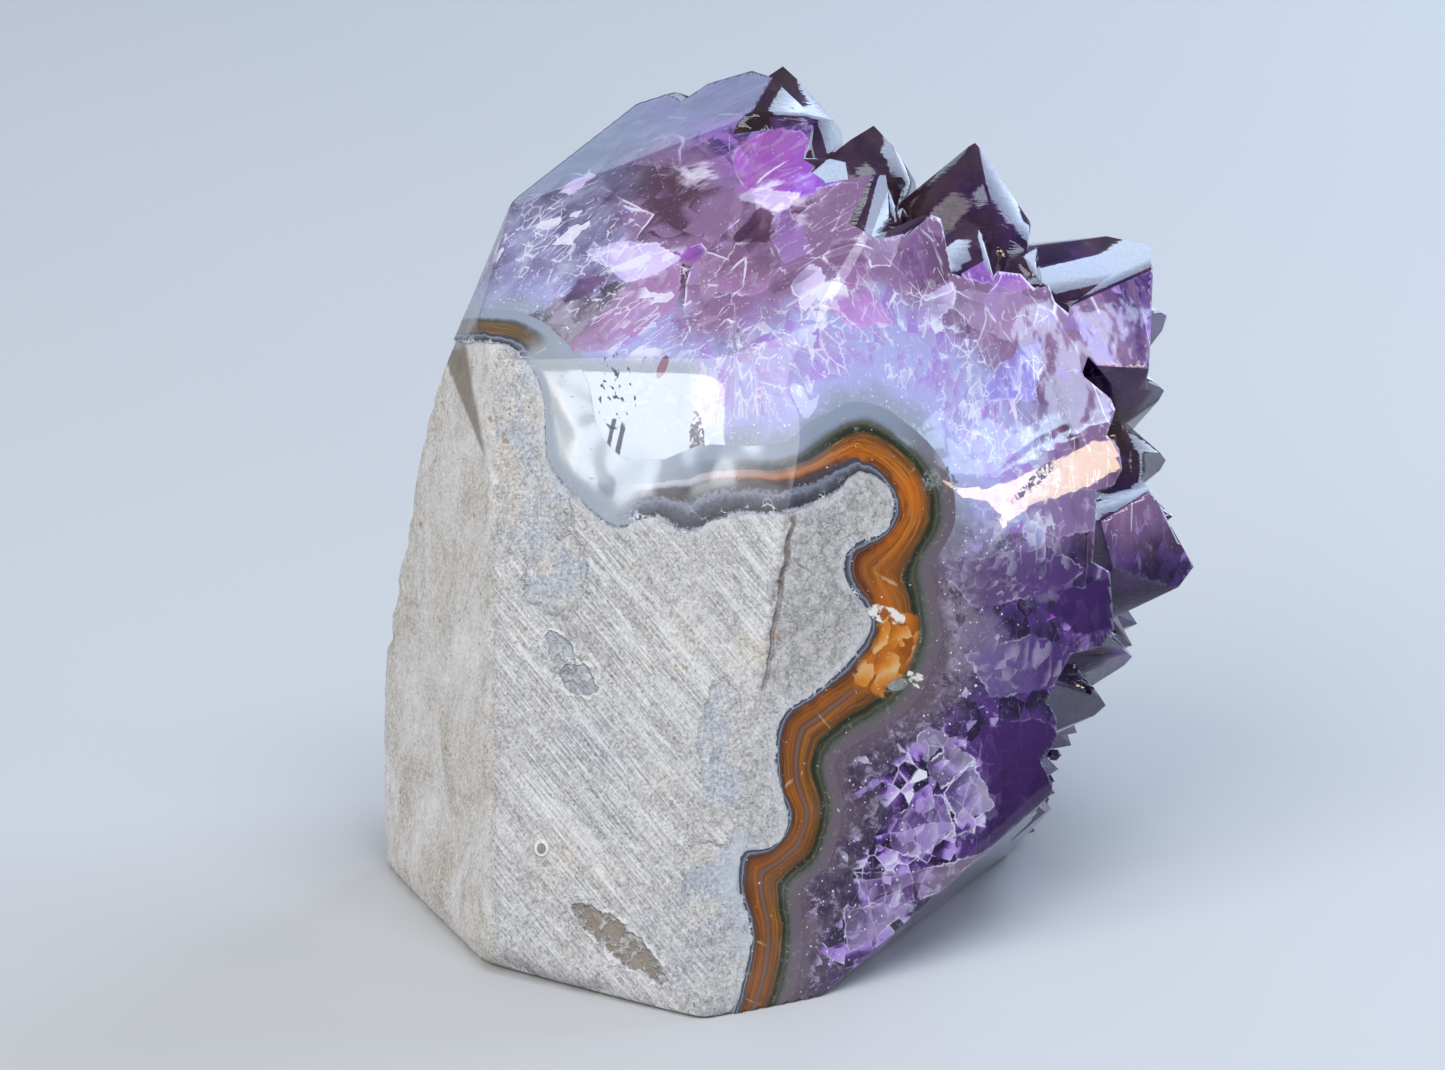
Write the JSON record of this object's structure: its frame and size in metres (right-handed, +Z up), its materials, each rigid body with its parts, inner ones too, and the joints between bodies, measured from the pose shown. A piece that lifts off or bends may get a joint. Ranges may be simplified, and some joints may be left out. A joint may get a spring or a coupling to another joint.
{
  "type": "amethyst cluster",
  "caption": "Ground piece of an amethyst geode wall on a flat base: grey rock, banded agate and violet quartz with a crystal-covered free side.",
  "frame": {"origin": "middle of the footprint's bounding box, on the ground under the flat base", "axes": "+Z up, +X towards the side that the crystals cover, +Y away from the side whose polished section shows the layers"},
  "size_m": [0.0992, 0.0802, 0.0955],
  "materials": {
    "basalt": "saw-ground grey rock, matt",
    "agate": "polished banded agate, glossy",
    "amethyst": "clear to milky violet quartz, polished and natural crystal faces"
  },
  "bodies": {
    "root": {"basalt_matrix": "basalt", "agate_band": "agate", "amethyst_crystals": "amethyst"}
  },
  "joints": []
}
